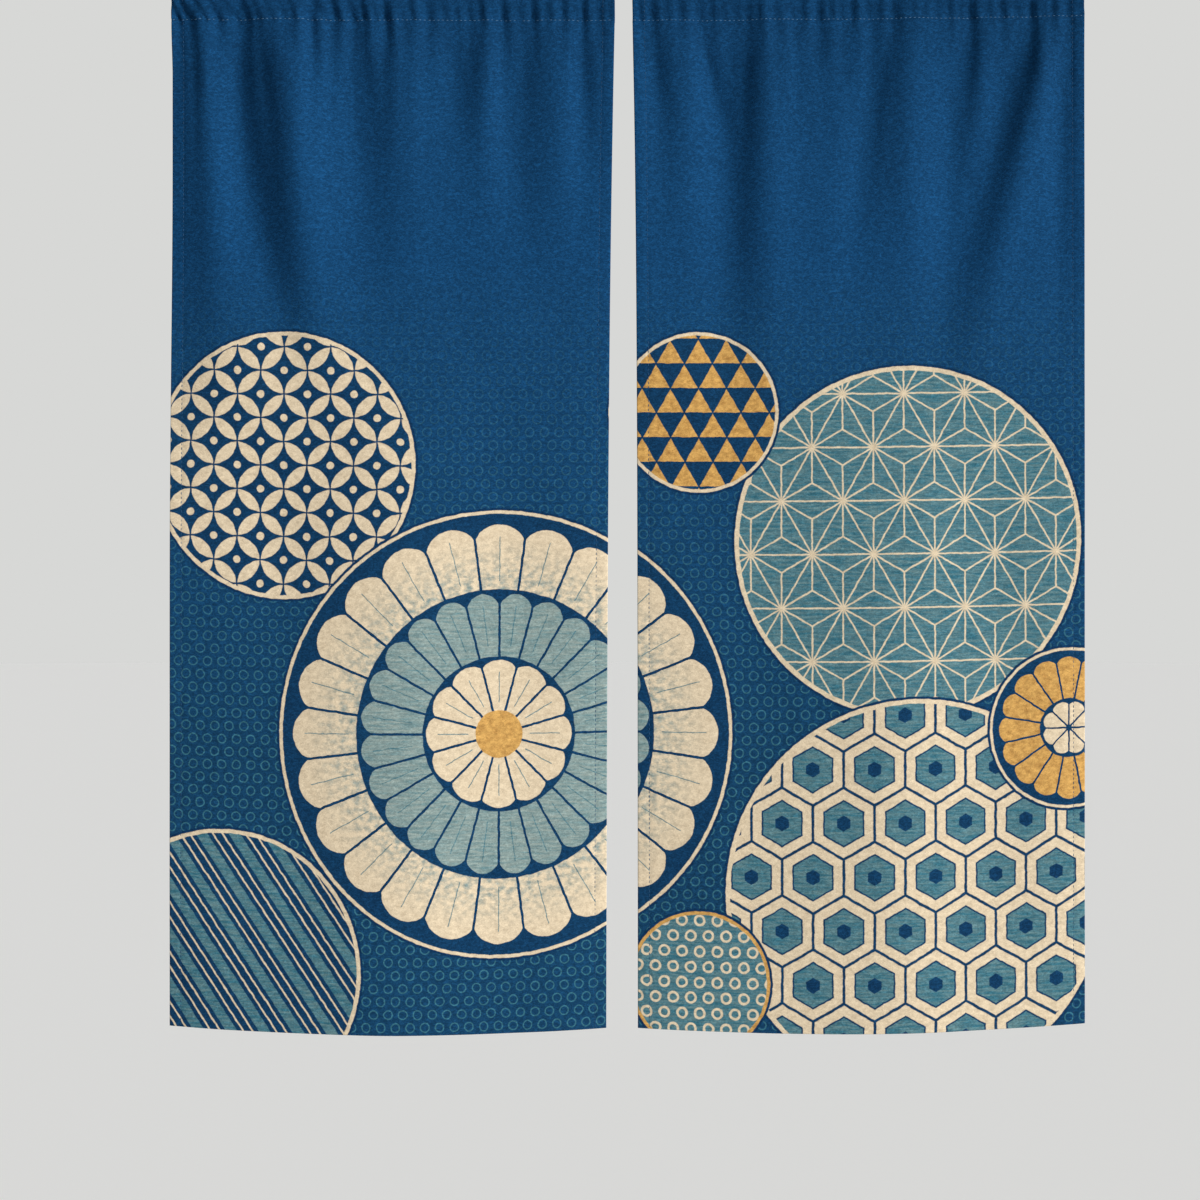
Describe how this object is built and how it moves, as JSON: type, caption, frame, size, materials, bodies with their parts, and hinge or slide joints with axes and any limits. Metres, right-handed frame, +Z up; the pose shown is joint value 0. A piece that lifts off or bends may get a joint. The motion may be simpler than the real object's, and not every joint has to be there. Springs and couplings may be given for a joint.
{
  "type": "noren curtain",
  "caption": "Split doorway curtain of printed blue cloth, its panels gathered on a rod pocket and hanging in soft folds to a hemmed foot.",
  "frame": {"origin": "middle of the slit, at the height of the rod pockets' top edge, over the rod's axis", "axes": "+Z up; +X to the right as the printed face is seen; the printed face looks towards -Y"},
  "size_m": [0.7731, 0.0339, 0.8995],
  "materials": {
    "cloth": "matt slubby plain weave, deep blue ground with a print in cream, teal, navy and gold",
    "thread": "matt light blue sewing thread"
  },
  "bodies": {
    "root": {"pocket_left": "cloth", "panel_left": "cloth", "pocket_right": "cloth", "panel_right": "cloth"}
  },
  "joints": []
}
